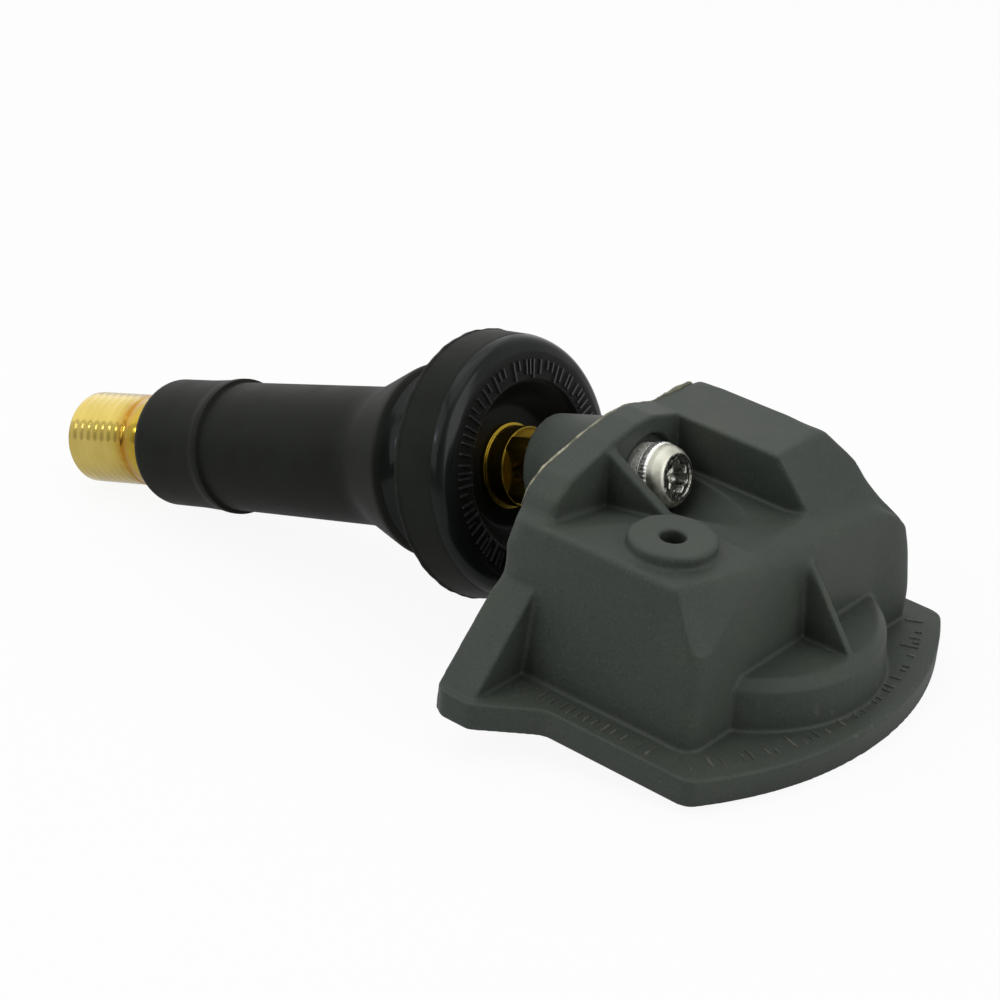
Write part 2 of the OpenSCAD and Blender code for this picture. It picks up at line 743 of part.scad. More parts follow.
// Rubber moulded on the brass: stem, snap-in bulge, rim groove and flange
module rubber_body() {
    tip_r = rubber_tip_d / 2;
    ridge_r = ridge_d / 2;
    root_r = root_d / 2;
    flange_r = flange_d / 2;
    edge_r = flange_r - flange_taper / 2;
    color([0.07, 0.07, 0.07]) at_rest() on_valve() difference() {
        rotate_extrude() polygon([
            [0, -face_rise], [hollow_d / 2 + 1.9, -face_rise], [edge_r - 0.5, -face_rise + 0.35],
            [edge_r - 0.1, -0.2], [edge_r, 0.3], [flange_r, flange_t - 0.5],
            [flange_r - 0.15, flange_t - 0.1], [flange_r - 0.6, flange_t],
            [groove_d / 2 + 0.9, groove_low - 0.15], [groove_d / 2 + 0.2, groove_low + 0.2],
            [groove_d / 2, groove_low + 0.7], [groove_d / 2, groove_top - 0.5],
            [groove_d / 2 + 0.25, groove_top], [bulge_d / 2 - 0.25, bulge_place - 0.35],
            [bulge_d / 2, bulge_place], [bulge_d / 2 - 0.1, bulge_place + 0.5],
            [root_r + 0.15, root_place - 0.4], [root_r, root_place],
            [tip_r, ridge_place - 0.8], [tip_r, ridge_place - 0.3], [ridge_r, ridge_place],
            [ridge_r, ridge_place + ridge_w], [tip_r + 0.14, ridge_place + ridge_w + 0.25],
            [tip_r + 0.02, ridge_place + 3.6],
            [tip_r, rubber_tip - 0.4], [tip_r - 0.4, rubber_tip], [0, rubber_tip]
        ]);
        rotate_extrude() stem_profile();
        rotate_extrude() polygon([
            [0, -face_rise - 1], [hollow_d / 2, -face_rise - 1], [hollow_d / 2, -face_rise + 0.2],
            [hollow_d / 2 - 0.9, 0.6], [stem_d / 2 + 1.6, hollow_depth], [0, hollow_depth]
        ]);
    }
}

// Threaded plug of the core, with two side slots that let the air by
module core_plug() {
    slot_w = 1.3;
    color([0.8, 0.62, 0.28]) at_rest() on_valve() difference() {
        tube(plug_low, plug_top, core_bore_d - 2 * turn_clear, pin_d + 0.5);
        for (side = [-1, 1])
            translate([side * core_bore_d / 2, 0, (plug_low + plug_top) / 2])
                cube([2 * slot_depth, slot_w, plug_length + 1], center = true);
    }
}

// Barrel with the shoulder that presses the seal into the stem's seat
module core_barrel() {
    color([0.8, 0.62, 0.28]) at_rest() on_valve() difference() {
        union() {
            tube(barrel_low, plug_low, barrel_d);
            tube(seat_low + core_seal_t, plug_low - 0.8, barrel_d + 0.9);
        }
        tube(spring_low, plug_low + 1, barrel_bore_d);
        tube(barrel_low - 1, spring_low + 1, pin_d + 0.3);
    }
}

// Tapered ring that seals the core in its seat
module core_seal() {
    taper = (core_bore_d - seat_bore_d) / 2 / (seat_top - seat_low);
    color([0.9, 0.88, 0.82]) at_rest() on_valve() rotate_extrude() polygon([
        [barrel_d / 2 + turn_clear, seat_low], [seat_bore_d / 2, seat_low],
        [seat_bore_d / 2 + taper * core_seal_t, seat_low + core_seal_t],
        [barrel_d / 2 + turn_clear, seat_low + core_seal_t]
    ]);
}

// Pin with its spring collar and the riveted foot that carries the cup
module core_pin() {
    foot_d = pin_d + 0.7;
    color([0.82, 0.66, 0.34]) at_rest() on_valve() union() {
        tube(barrel_low - cup_h - 0.2, valve_length - 0.3, pin_d);
        tube(barrel_low - cup_h - 0.3, barrel_low - cup_h, foot_d);
        tube(collar_top - pin_collar_t, collar_top, barrel_bore_d - 2 * turn_clear);
    }
}

// Cup on the pin that carries the seal
module pin_cup() {
    color([0.78, 0.6, 0.26]) at_rest() on_valve() difference() {
        tube(barrel_low - cup_h, barrel_low - 0.15, cup_d, pin_d + 2 * turn_clear);
        tube(barrel_low - core_seal_t, barrel_low, cup_d - 2 * cup_wall);
    }
}

module pin_seal() {
    color([0.1, 0.1, 0.1]) at_rest() on_valve()
        tube(barrel_low - core_seal_t, barrel_low - turn_clear, cup_d - 2 * cup_wall - 2 * turn_clear,
            pin_d + 2 * turn_clear);
}

// Coil spring between the barrel's lip and the collar on the pin
module core_spring() {
    steps = 12;
    sides = 8;
    coil_r = (pin_d + barrel_bore_d) / 4 + 0.02;
    wire_r = core_wire_d / 2;
    rise = (spring_length - core_wire_d - 2 * turn_clear) / core_turns;
    count = core_turns * steps;
    points = [
        for (i = [0 : count]) let (turn = 360 * i / steps)
            for (k = [0 : sides - 1]) let (a = 360 * k / sides)
                [(coil_r + wire_r * cos(a)) * cos(turn), (coil_r + wire_r * cos(a)) * sin(turn),
                 rise * i / steps + wire_r * sin(a)]
    ];
    walls = [
        for (i = [0 : count - 1]) for (k = [0 : sides - 1]) let (n = (k + 1) % sides)
            [i * sides + k, i * sides + n, (i + 1) * sides + n, (i + 1) * sides + k]
    ];
    caps = [
        [for (k = [0 : sides - 1]) sides - 1 - k],
        [for (k = [0 : sides - 1]) count * sides + k]
    ];
    color([0.75, 0.76, 0.78]) at_rest() on_valve()
        translate([0, 0, spring_low + wire_r + turn_clear])
            polyhedron(points, concat(walls, caps));
}

// Screw with a collar under its domed head and a six-lobed drive
module fixing_screw() {
    lobe_r = drive_w / 6;
    drive_depth = 1.2;
    color([0.8, 0.8, 0.78]) at_rest() on_valve() difference() {
        rotate_extrude() polygon([
            [0, head_top], [face_d / 2, head_top], [face_d / 2 + 0.2, head_top + 0.12],
            [face_d / 2 + 0.42, head_top + 0.35], [face_d / 2 + 0.58, head_top + 0.6],
            [head_d / 2 - 0.14, collar_face - 0.05], [head_d / 2, collar_face + 0.12],
            [head_d / 2, washer_top], [screw_d / 2, washer_top], [screw_d / 2, screw_tip - 0.3],
            [screw_d / 2 - 0.3, screw_tip], [0, screw_tip]
        ]);
        translate([0, 0, head_top - 1]) linear_extrude(drive_depth + 1) union() {
            circle(r = drive_w / 2 - lobe_r * 0.75);
            for (a = [0 : 60 : 300]) rotate(a) translate([drive_w / 2 - lobe_r, 0]) circle(r = lobe_r);
        }
    }
}

module lock_washer() {
    color([0.66, 0.67, 0.66]) at_rest() on_valve()
        tube(washer_top, -screw_seat, washer_d, screw_d + 4 * turn_clear);
}

housing();
sealing_compound();
coin_cell();
cell_tab_lower();
cell_tab_upper();
circuit_board();
sensor_chip();
port_gasket();
ferrite_core();
coil_winding();
antenna_strip();
crystal();
chip_capacitors();
valve_stem();
rubber_body();
core_plug();
core_barrel();
core_seal();
core_pin();
pin_cup();
pin_seal();
core_spring();
fixing_screw();
lock_washer();
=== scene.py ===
import math
import random

import bmesh
import bpy
import numpy as np
from mathutils import Matrix, Vector


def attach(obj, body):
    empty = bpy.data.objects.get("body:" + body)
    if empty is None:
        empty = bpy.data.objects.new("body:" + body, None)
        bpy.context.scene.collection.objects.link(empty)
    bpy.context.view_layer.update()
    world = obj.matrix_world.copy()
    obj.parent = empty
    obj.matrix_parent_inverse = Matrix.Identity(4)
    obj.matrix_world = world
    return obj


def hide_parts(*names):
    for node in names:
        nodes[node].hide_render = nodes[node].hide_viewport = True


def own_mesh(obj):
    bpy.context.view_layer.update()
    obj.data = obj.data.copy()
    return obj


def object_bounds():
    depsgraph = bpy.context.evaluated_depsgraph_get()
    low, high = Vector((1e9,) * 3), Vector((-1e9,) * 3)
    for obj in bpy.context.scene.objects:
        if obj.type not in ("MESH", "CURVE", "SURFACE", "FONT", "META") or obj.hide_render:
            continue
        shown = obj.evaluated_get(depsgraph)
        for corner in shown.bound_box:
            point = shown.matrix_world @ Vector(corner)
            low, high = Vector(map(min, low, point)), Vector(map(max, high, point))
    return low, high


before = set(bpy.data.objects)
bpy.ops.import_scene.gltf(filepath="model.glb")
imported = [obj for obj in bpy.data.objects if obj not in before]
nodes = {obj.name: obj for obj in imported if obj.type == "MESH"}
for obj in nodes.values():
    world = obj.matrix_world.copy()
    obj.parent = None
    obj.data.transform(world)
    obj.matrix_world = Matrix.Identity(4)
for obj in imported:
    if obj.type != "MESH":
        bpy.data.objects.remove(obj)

cad_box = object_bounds()
MM = 0.001
# Distance at which two points of a mesh are one, in metres
MERGED = 1e-7

# The two rigs of the part, in millimetres, and the way it lies on the table
VALVE_TILT = math.radians(18.3)
VALVE_HEIGHT = 9.26
VALVE_LENGTH = 48.1
TIP_CHAMFER = 0.4
THREAD_R = 3.85
RIM_SEAT = 5.9
RIDGE = 30.05
PLATE_END_X = 33.3
PLATE_T = 2.15
REST_FLAT = 0.1


def on_axis(s, up=0.0):
    """A point of the valve rig's middle plane, in the plate rig."""
    cos, sin = math.cos(VALVE_TILT), math.sin(VALVE_TILT)
    return Vector((-s * cos - up * sin, 0, VALVE_HEIGHT - s * sin + up * cos))


touch = on_axis(VALVE_LENGTH - TIP_CHAMFER, -THREAD_R)
REST_TILT = math.atan2(REST_FLAT - touch.z, PLATE_END_X - touch.x)
PLATE_RIG = (
    Matrix.Scale(MM, 4)
    @ Matrix.Rotation(REST_TILT, 4, "Y")
    @ Matrix.Translation(-on_axis(RIM_SEAT))
)
VALVE_RIG = (
    PLATE_RIG
    @ Matrix.Translation((0, 0, VALVE_HEIGHT))
    @ Matrix.Rotation(-math.pi / 2 - VALVE_TILT, 4, "Y")
)
TIP_WAY = (VALVE_RIG.to_3x3() @ Vector((0, 0, 1))).normalized()


# Node material helpers

def material(name, color, rough=0.5, metal=0.0, level=0.5):
    mat = bpy.data.materials.new(name)
    mat.use_nodes = True
    shader = mat.node_tree.nodes["Principled BSDF"]
    shader.inputs["Base Color"].default_value = (*color, 1)
    shader.inputs["Roughness"].default_value = rough
    shader.inputs["Metallic"].default_value = metal
    shader.inputs["Specular IOR Level"].default_value = level
    return mat, mat.node_tree.nodes, mat.node_tree.links, shader


def place(nt, kind="Object"):
    return nt.new("ShaderNodeTexCoord").outputs[kind]


def coordinate(nt, links, axis):
    """One of the part's own coordinates, in metres."""
    parts = nt.new("ShaderNodeSeparateXYZ")
    links.new(place(nt), parts.inputs[0])
    return parts.outputs[axis]


def noise(nt, links, size, detail=3.0, rough=0.55, spot=None):
    """Noise whose features are about size metres across."""
    tex = nt.new("ShaderNodeTexNoise")
    tex.inputs["Scale"].default_value = 1 / size
    tex.inputs["Detail"].default_value = detail
    tex.inputs["Roughness"].default_value = rough
    links.new(spot or place(nt), tex.inputs["Vector"])
    return tex.outputs["Fac"]


def ramp(nt, links, value, low, high, out_low=0.0, out_high=1.0):
    """Maps value from low..high to out_low..out_high."""
    node = nt.new("ShaderNodeMapRange")
    ends = {"From Min": low, "From Max": high, "To Min": out_low, "To Max": out_high}
    for key, number in ends.items():
        node.inputs[key].default_value = number
    links.new(value, node.inputs["Value"])
    return node.outputs["Result"]


def blend_color(nt, links, factor, low, high):
    """From low to high as factor goes from 0 to 1; each is a colour or a socket."""
    node = nt.new("ShaderNodeMix")
    node.data_type = "RGBA"
    for socket, color in ((node.inputs[6], low), (node.inputs[7], high)):
        if isinstance(color, tuple):
            socket.default_value = (*color, 1)
        else:
            links.new(color, socket)
    links.new(factor, node.inputs[0])
    return node.outputs[2]


def bump(nt, links, shader, height, depth, strength=1.0, under=None):
    """Bump of depth metres on the shader, over an earlier one."""
    node = nt.new("ShaderNodeBump")
    node.inputs["Distance"].default_value = depth
    node.inputs["Strength"].default_value = strength
    links.new(height, node.inputs["Height"])
    if under:
        links.new(under, node.inputs["Normal"])
    links.new(node.outputs["Normal"], shader.inputs["Normal"])
    return node.outputs["Normal"]


def two_values(nt, links, operation, a, b):
    node = nt.new("ShaderNodeMath")
    node.operation = operation
    links.new(a, node.inputs[0])
    links.new(b, node.inputs[1])
    return node.outputs[0]


def multiply(nt, links, a, b):
    return two_values(nt, links, "MULTIPLY", a, b)


def largest(nt, links, a, b):
    return two_values(nt, links, "MAXIMUM", a, b)


def ray_kinds(nt, links):
    """One on camera rays, and one on rays that metal or glass sends on."""
    rays = nt.new("ShaderNodeLightPath").outputs
    sent_on = largest(nt, links, rays["Is Glossy Ray"], rays["Is Transmission Ray"])
    return rays["Is Camera Ray"], sent_on


def along_valve(nt, links):
    """Distance along the valve from the flange's front edge, in millimetres."""
    dot = nt.new("ShaderNodeVectorMath")
    dot.operation = "DOT_PRODUCT"
    dot.inputs[1].default_value = TIP_WAY
    links.new(place(nt), dot.inputs[0])
    shift = nt.new("ShaderNodeMath")
    shift.operation = "MULTIPLY_ADD"
    shift.inputs[1].default_value = 1 / MM
    shift.inputs[2].default_value = RIM_SEAT
    links.new(dot.outputs["Value"], shift.inputs[0])
    return shift.outputs[0]


def ring_marks(nt, links, s, width):
    """Noise that changes only along the valve, as turning marks do, width in millimetres."""
    spot = nt.new("ShaderNodeCombineXYZ")
    links.new(s, spot.inputs["X"])
    return noise(nt, links, width, 3, 0.6, spot.outputs["Vector"])


def edge_wear(nt, links, low, high):
    """One on worn outer edges, zero on flat and hollow places."""
    shape = nt.new("ShaderNodeNewGeometry").outputs["Pointiness"]
    patches = ramp(nt, links, noise(nt, links, 0.0014, 4), 0.42, 0.62)
    return multiply(nt, links, ramp(nt, links, shape, low, high), patches)


def low_down(nt, links):
    """One on the base plate, zero on the block above it."""
    return ramp(nt, links, coordinate(nt, links, "Z"), -0.0072, -0.0086)


def painted_corner_shade(nt, links):
    """One deep in corners and zero in the open: painted shade, from the mesh's own occlusion."""
    shelter = nt.new("ShaderNodeAmbientOcclusion")
    shelter.samples = 6
    shelter.inputs["Distance"].default_value = 0.003
    return ramp(nt, links, shelter.outputs["AO"], 0.72, 0.30, 0.0, 0.75)


def scaled(color, factor):
    return tuple(min(1, c * factor) for c in color)


def moulded_plastic(name, dark, light, worn):
    """Clouded and grained, rubbed on the plate's edges, with painted shade in the corners."""
    mat, nt, links, shader = material(name, dark, 0.58, level=0.26)
    cloud = noise(nt, links, 0.006, 4)
    grain = noise(nt, links, 0.00020, 5, 0.75)
    tone = blend_color(nt, links, ramp(nt, links, cloud, 0.3, 0.7), dark, light)
    tone = blend_color(nt, links, ramp(nt, links, grain, 0.56, 0.82), tone, worn)
    tone = blend_color(nt, links, ramp(nt, links, grain, 0.46, 0.26), tone, scaled(dark, 0.6))
    rubbed = multiply(nt, links, edge_wear(nt, links, 0.525, 0.65), low_down(nt, links))
    tone = blend_color(nt, links, rubbed, tone, worn)
    # Painted shade: the tone darkens deep in corners and hollows
    tone = blend_color(nt, links, painted_corner_shade(nt, links), tone, scaled(dark, 0.45))
    links.new(tone, shader.inputs["Base Color"])
    links.new(ramp(nt, links, grain, 0.2, 0.8, 0.5, 0.66), shader.inputs["Roughness"])
    normal = bump(nt, links, shader, grain, 0.00003, 0.6)
    bump(nt, links, shader, noise(nt, links, 0.0016, 3), 0.00010, 0.35, normal)
    return mat


def flash_plastic():
    """Torn and pale at the near side, darker at the far one."""
    mat, nt, links, shader = material("flash_plastic", (0.2, 0.19, 0.12), 0.5, level=0.3)
    mask = ramp(nt, links, noise(nt, links, 0.0009, 4), 0.38, 0.64)
    near = blend_color(nt, links, mask, (0.10, 0.098, 0.065), (0.40, 0.38, 0.27))
    far = blend_color(nt, links, mask, (0.045, 0.045, 0.028), (0.15, 0.145, 0.095))
    side = ramp(nt, links, coordinate(nt, links, "Y"), -0.006, 0.002)
    links.new(blend_color(nt, links, side, near, far), shader.inputs["Base Color"])
    bump(nt, links, shader, noise(nt, links, 0.0004, 3), 0.00005, 0.8)
    return mat


def rubber(name, color, rough, level, grain_depth):
    mat, nt, links, shader = material(name, color, rough, level=level)
    cloud = noise(nt, links, 0.004, 4)
    lighter = tuple(c * 1.4 + 0.001 for c in color)
    tone = blend_color(nt, links, ramp(nt, links, cloud, 0.35, 0.7), color, lighter)
    links.new(tone, shader.inputs["Base Color"])
    polish = ramp(nt, links, cloud, 0.3, 0.7, rough - 0.05, rough + 0.07)
    links.new(polish, shader.inputs["Roughness"])
    normal = bump(nt, links, shader, noise(nt, links, 0.00025, 4), grain_depth, 0.5)
    bump(nt, links, shader, noise(nt, links, 0.0025, 2), grain_depth * 6, 0.3, normal)
    return mat


# Where the brass changes along the valve, in millimetres
DULL_TO_DEEP = (1.6, 4.0)
DEEP_TO_PALE = (40.2, 43.0)
STAIN_STARTS, STAIN_ENDS = (40.0, 40.8), (41.9, 41.0)


def stem_brass():
    """Pale brass on the thread, deeper gold towards the rubber, stained at the run-out."""
    mat, nt, links, shader = material("stem_brass", (0.50, 0.38, 0.10), 0.2, 1.0)
    s = along_valve(nt, links)
    cloud = ramp(nt, links, noise(nt, links, 0.003, 3), 0.3, 0.7)
    pale = blend_color(nt, links, cloud, (0.435, 0.33, 0.07), (0.51, 0.395, 0.105))
    deep = blend_color(nt, links, cloud, (0.32, 0.21, 0.018), (0.41, 0.285, 0.034))
    dull = blend_color(nt, links, cloud, (0.28, 0.19, 0.02), (0.37, 0.26, 0.032))
    tone = blend_color(nt, links, ramp(nt, links, s, *DEEP_TO_PALE), deep, pale)
    starts, ends = (ramp(nt, links, s, *span) for span in (STAIN_STARTS, STAIN_ENDS))
    run_out = multiply(nt, links, starts, ends)
    patchy = ramp(nt, links, noise(nt, links, 0.0016, 4), 0.3, 0.55)
    stain = multiply(nt, links, run_out, patchy)
    tone = blend_color(nt, links, stain, tone, (0.34, 0.16, 0.015))
    tone = blend_color(nt, links, ramp(nt, links, s, *DULL_TO_DEEP), dull, tone)
    links.new(tone, shader.inputs["Base Color"])
    polish = ramp(nt, links, noise(nt, links, 0.0003, 4), 0.3, 0.7, 0.11, 0.18)
    tarnish = ramp(nt, links, s, *DULL_TO_DEEP, 0.26, 0.0)
    links.new(largest(nt, links, polish, tarnish), shader.inputs["Roughness"])
    bump(nt, links, shader, ring_marks(nt, links, s, 0.12), 0.000006, 0.5)
    return mat


def metal(name, color, rough, grain_size=0.0003, grain_depth=0.00001, strength=0.4):
    mat, nt, links, shader = material(name, color, rough, 1.0)
    fine = noise(nt, links, grain_size, 4)
    tone = blend_color(nt, links, ramp(nt, links, fine, 0.3, 0.7), scaled(color, 0.82), color)
    links.new(tone, shader.inputs["Base Color"])
    polish = ramp(nt, links, fine, 0.3, 0.7, rough * 0.8, rough * 1.25)
    links.new(polish, shader.inputs["Roughness"])
    bump(nt, links, shader, fine, grain_depth, strength)
    return mat


def plain(name, color, rough, grain_size=0.0005, grain_depth=0.00002):
    mat, nt, links, shader = material(name, color, rough)
    fine = noise(nt, links, grain_size, 4)
    tone = blend_color(nt, links, ramp(nt, links, fine, 0.3, 0.7), color, scaled(color, 1.25))
    links.new(tone, shader.inputs["Base Color"])
    bump(nt, links, shader, fine, grain_depth, 0.4)
    return mat


MATERIALS = {
    "housing_plastic": moulded_plastic(
        "housing_plastic",
        (0.0315, 0.0395, 0.0335), (0.040, 0.0470, 0.0370), (0.085, 0.088, 0.068),
    ),
    "mark_plastic": moulded_plastic(
        "mark_plastic", (0.037, 0.043, 0.035), (0.050, 0.054, 0.042), (0.10, 0.098, 0.075)
    ),
    "flash_plastic": flash_plastic(),
    "rubber_matte": rubber("rubber_matte", (0.0088, 0.0100, 0.0077), 0.5, 0.055, 0.000006),
    "rubber_gloss": rubber("rubber_gloss", (0.0066, 0.0078, 0.0076), 0.17, 0.14, 0.000003),
    # Darker than the stem's rubber: partly the face's own black, partly painted shade from the
    # housing in front and the hollow
    "rubber_face_and_shade": rubber("rubber_face_and_shade", (0.0058, 0.0060, 0.0054), 0.4, 0.1, 0.000006),
    # Lighter than the rest of the rubber: painted glint on the raised marks
    "rubber_ribs_painted_glint": rubber("rubber_ribs_painted_glint", (0.015, 0.016, 0.017), 0.26, 0.6, 0.000004),
    "stem_brass": stem_brass(),
    "screw_nickel": metal("screw_nickel", (0.56, 0.555, 0.475), 0.48, 0.0005, 0.00002, 0.5),
    # The knurled band: partly its rough-cut finish, partly painted highlight in its near-white base
    "screw_knurled_and_highlight": metal("screw_knurled_and_highlight", (0.92, 0.92, 0.89), 0.36, 0.00025, 0.00006, 0.9),
    # A much darker copy of the head's nickel: painted shade on the face and the recess
    "screw_drive_shaded": metal("screw_drive_shaded", (0.26, 0.26, 0.235), 0.2, 0.0004, 0.00012, 0.9),
    "washer_steel": metal("washer_steel", (0.80, 0.80, 0.74), 0.66, 0.00018, 0.00008, 0.9),
    "core_brass": metal("core_brass", (0.70, 0.50, 0.16), 0.24),
    "spring_steel": metal("spring_steel", (0.62, 0.62, 0.63), 0.2),
    "cell_steel": metal("cell_steel", (0.66, 0.67, 0.68), 0.28),
    "potting": plain("potting", (0.012, 0.012, 0.012), 0.2, 0.002, 0.00008),
    "board_green": plain("board_green", (0.012, 0.09, 0.04), 0.35),
    "chip_black": plain("chip_black", (0.012, 0.012, 0.013), 0.5),
    "gasket_red": plain("gasket_red", (0.25, 0.03, 0.02), 0.55),
    "ferrite_grey": plain("ferrite_grey", (0.03, 0.03, 0.032), 0.45),
    "coil_copper": metal("coil_copper", (0.62, 0.28, 0.12), 0.25, 0.0002),
    "antenna_gold": metal("antenna_gold", (0.74, 0.56, 0.22), 0.25),
    "capacitor_tan": plain("capacitor_tan", (0.30, 0.19, 0.10), 0.4),
    "seal_white": plain("seal_white", (0.72, 0.70, 0.64), 0.4),
    "seal_black": plain("seal_black", (0.01, 0.01, 0.01), 0.5),
}

NODE_LOOKS = {
    "sealing_compound": "potting", "coin_cell": "cell_steel", "cell_tab_lower": "cell_steel",
    "cell_tab_upper": "cell_steel", "circuit_board": "board_green", "sensor_chip": "chip_black",
    "port_gasket": "gasket_red", "ferrite_core": "ferrite_grey", "coil_winding": "coil_copper",
    "antenna_strip": "antenna_gold", "crystal": "cell_steel", "chip_capacitors": "capacitor_tan",
    "core_plug": "core_brass", "core_barrel": "core_brass", "core_seal": "seal_white",
    "core_pin": "core_brass", "pin_cup": "core_brass", "pin_seal": "seal_black",
}


def dress_cad_nodes():
    for name, look in NODE_LOOKS.items():
        for slot in nodes[name].material_slots:
            slot.material = MATERIALS[look]


# Mesh helpers

def in_scene(thing):
    bpy.context.scene.collection.objects.link(thing)
    return thing


def new_piece(name, verts, faces, rig, looks, face_looks=None, smooth=True):
    """A piece from points on a rig, with one material for each look."""
    mesh = bpy.data.meshes.new(name)
    mesh.from_pydata([tuple(v) for v in verts], [], faces)
    mesh.transform(rig)
    for look in looks:
        mesh.materials.append(MATERIALS[look])
    if face_looks is not None:
        mesh.polygons.foreach_set("material_index", face_looks)
    mesh.polygons.foreach_set("use_smooth", [smooth] * len(mesh.polygons))
    mesh.update()
    return in_scene(bpy.data.objects.new(name, mesh))


def copy_of(node, name, look):
    """A piece with a CAD node's form, to be worked on, in one material."""
    mesh = nodes[node].data.copy()
    mesh.materials.clear()
    mesh.materials.append(MATERIALS[look])
    return in_scene(bpy.data.objects.new(name, mesh))


def ring_faces(i, j, sides):
    """Quads between rings i and j of points that were made ring by ring."""
    quads = []
    for k in range(sides):
        n = (k + 1) % sides
        quads.append((i * sides + k, i * sides + n, j * sides + n, j * sides + k))
    return quads


def finish_mesh(piece):
    """Outward normals and merged seams."""
    form = bmesh.new()
    form.from_mesh(piece.data)
    bmesh.ops.remove_doubles(form, verts=form.verts, dist=MERGED)
    bmesh.ops.recalc_face_normals(form, faces=form.faces)
    form.to_mesh(piece.data)
    form.free()


def applied(piece):
    """Replaces the piece's mesh by what its modifiers make of it."""
    graph = bpy.context.evaluated_depsgraph_get()
    mesh = bpy.data.meshes.new_from_object(piece.evaluated_get(graph))
    piece.modifiers.clear()
    old = piece.data
    piece.data = mesh
    bpy.data.meshes.remove(old)


# Steps in which a rounded corner turns
ROUND_STEPS = 6


def rounded(points):
    """Corners (s, r, fillet) as a line of points with each corner rounded."""
    line = []
    count = len(points)
    for i, (s, r, fillet) in enumerate(points):
        here = Vector((s, r))
        if fillet <= 0 or i in (0, count - 1):
            line.append(here)
            continue
        before = Vector(points[i - 1][:2]) - here
        after = Vector(points[i + 1][:2]) - here
        reach = min(fillet, before.length * 0.49, after.length * 0.49)
        start = here + before.normalized() * reach
        end = here + after.normalized() * reach
        for k in range(ROUND_STEPS + 1):
            t = k / ROUND_STEPS
            line.append((1 - t) ** 2 * start + 2 * t * (1 - t) * here + t ** 2 * end)
    return line


# Radius below which a point lies on the axis, in millimetres
ON_AXIS = 1e-6


def lathe(name, line, looks, look_at=None, segments=160, closed=False, wobble=None):
    """A piece turned about the valve's axis from a line of (s, r) points.

    look_at(s, r) picks the material, and wobble(s, r, angle) gives each point's shift.
    """
    verts = []
    for i, (s, r) in enumerate(line):
        for k in range(segments):
            a = 2 * math.pi * k / segments
            ds, dr = wobble(s, r, a) if wobble else (0, 0)
            verts.append(((r + dr) * math.cos(a), (r + dr) * math.sin(a), s + ds))
    faces, face_looks = [], []
    rows = len(line) if closed else len(line) - 1
    for i in range(rows):
        j = (i + 1) % len(line)
        if line[i][1] < ON_AXIS and line[j][1] < ON_AXIS:
            continue
        look = 0
        if look_at:
            look = look_at((line[i][0] + line[j][0]) / 2, (line[i][1] + line[j][1]) / 2)
        faces += ring_faces(i, j, segments)
        face_looks += [look] * segments
    piece = new_piece(name, verts, faces, VALVE_RIG, looks, face_looks)
    finish_mesh(piece)
    return piece


# Housing: the CAD's own form with the soft edges of a moulding

# Size of the cubes that the form is rebuilt from, and the triangles that it keeps
VOXEL = 0.12
HOUSING_TRIANGLES = 185000
# Rounds of evening out that every point gets
BASE_PASSES = 4
# Places in the plate rig where the moulding is softer: point, reach, passes
SOFT_PLACES = [
    ((25.2, -6.0, 13.1), 2.4, 90),
    ((25.3, -1.0, 12.8), 2.4, 90),
    ((25.4, 4.0, 12.5), 2.6, 110),
    ((25.5, 8.5, 12.0), 2.8, 120),
    ((25.0, 12.0, 10.6), 1.6, 24),
    ((23.3, 6.0, 12.8), 2.2, 110),
    ((23.6, 9.5, 12.2), 2.2, 110),
    ((17.5, -12.4, 13.3), 2.2, 34),
    ((21.5, -12.4, 13.3), 2.2, 40),
    ((13.5, -12.3, 13.3), 2.0, 34),
    ((21.5, 0.0, 12.9), 2.6, 60),
    ((19.8, 6.5, 16.6), 2.6, 26),
    ((19.9, 9.65, 16.6), 2.4, 90),
    ((23.5, 12.0, 12.5), 1.8, 40),
    ((8.6, 9.9, 16.6), 1.8, 70),
    ((9.8, -11.9, 13.1), 1.9, 80),
    ((8.6, -12.4, 9.5), 1.8, 60),
    ((8.8, -12.2, 11.5), 1.8, 40),
    ((16.0, -7.7, 13.3), 1.2, 16),
    ((22.5, -7.7, 13.3), 1.2, 16),
    ((11.3, -8.5, 13.2), 2.4, 22),
]
# Places in the plate rig where the corner stands further out: point, reach, push
FULLER_PLACES = [
    ((21.2, 10.4, 15.2), 3.0, (0.22, 0.24, 0.14)),
    ((25.9, 12.7, 4.5), 2.2, (0.34, 0.29, 0.0)),
    ((25.5, 12.3, 7.5), 2.2, (0.34, 0.29, 0.0)),
    ((25.2, 12.0, 10.0), 1.8, (0.12, 0.10, 0.0)),
]


def fill_out(co):
    """Moves the points near the fuller places, in place."""
    for point, reach, push in FULLER_PLACES:
        away = np.linalg.norm(co - np.array(point), axis=1) / reach
        co += np.exp(-away[:, None] ** 2) * np.array(push)


def passes_wanted(co):
    """The number of passes for each point."""
    need = np.full(len(co), float(BASE_PASSES))
    for point, reach, passes in SOFT_PLACES:
        away = np.linalg.norm(co - np.array(point), axis=1) / reach
        need = np.maximum(need, BASE_PASSES + (passes - BASE_PASSES) * np.exp(-away ** 4))
    return need


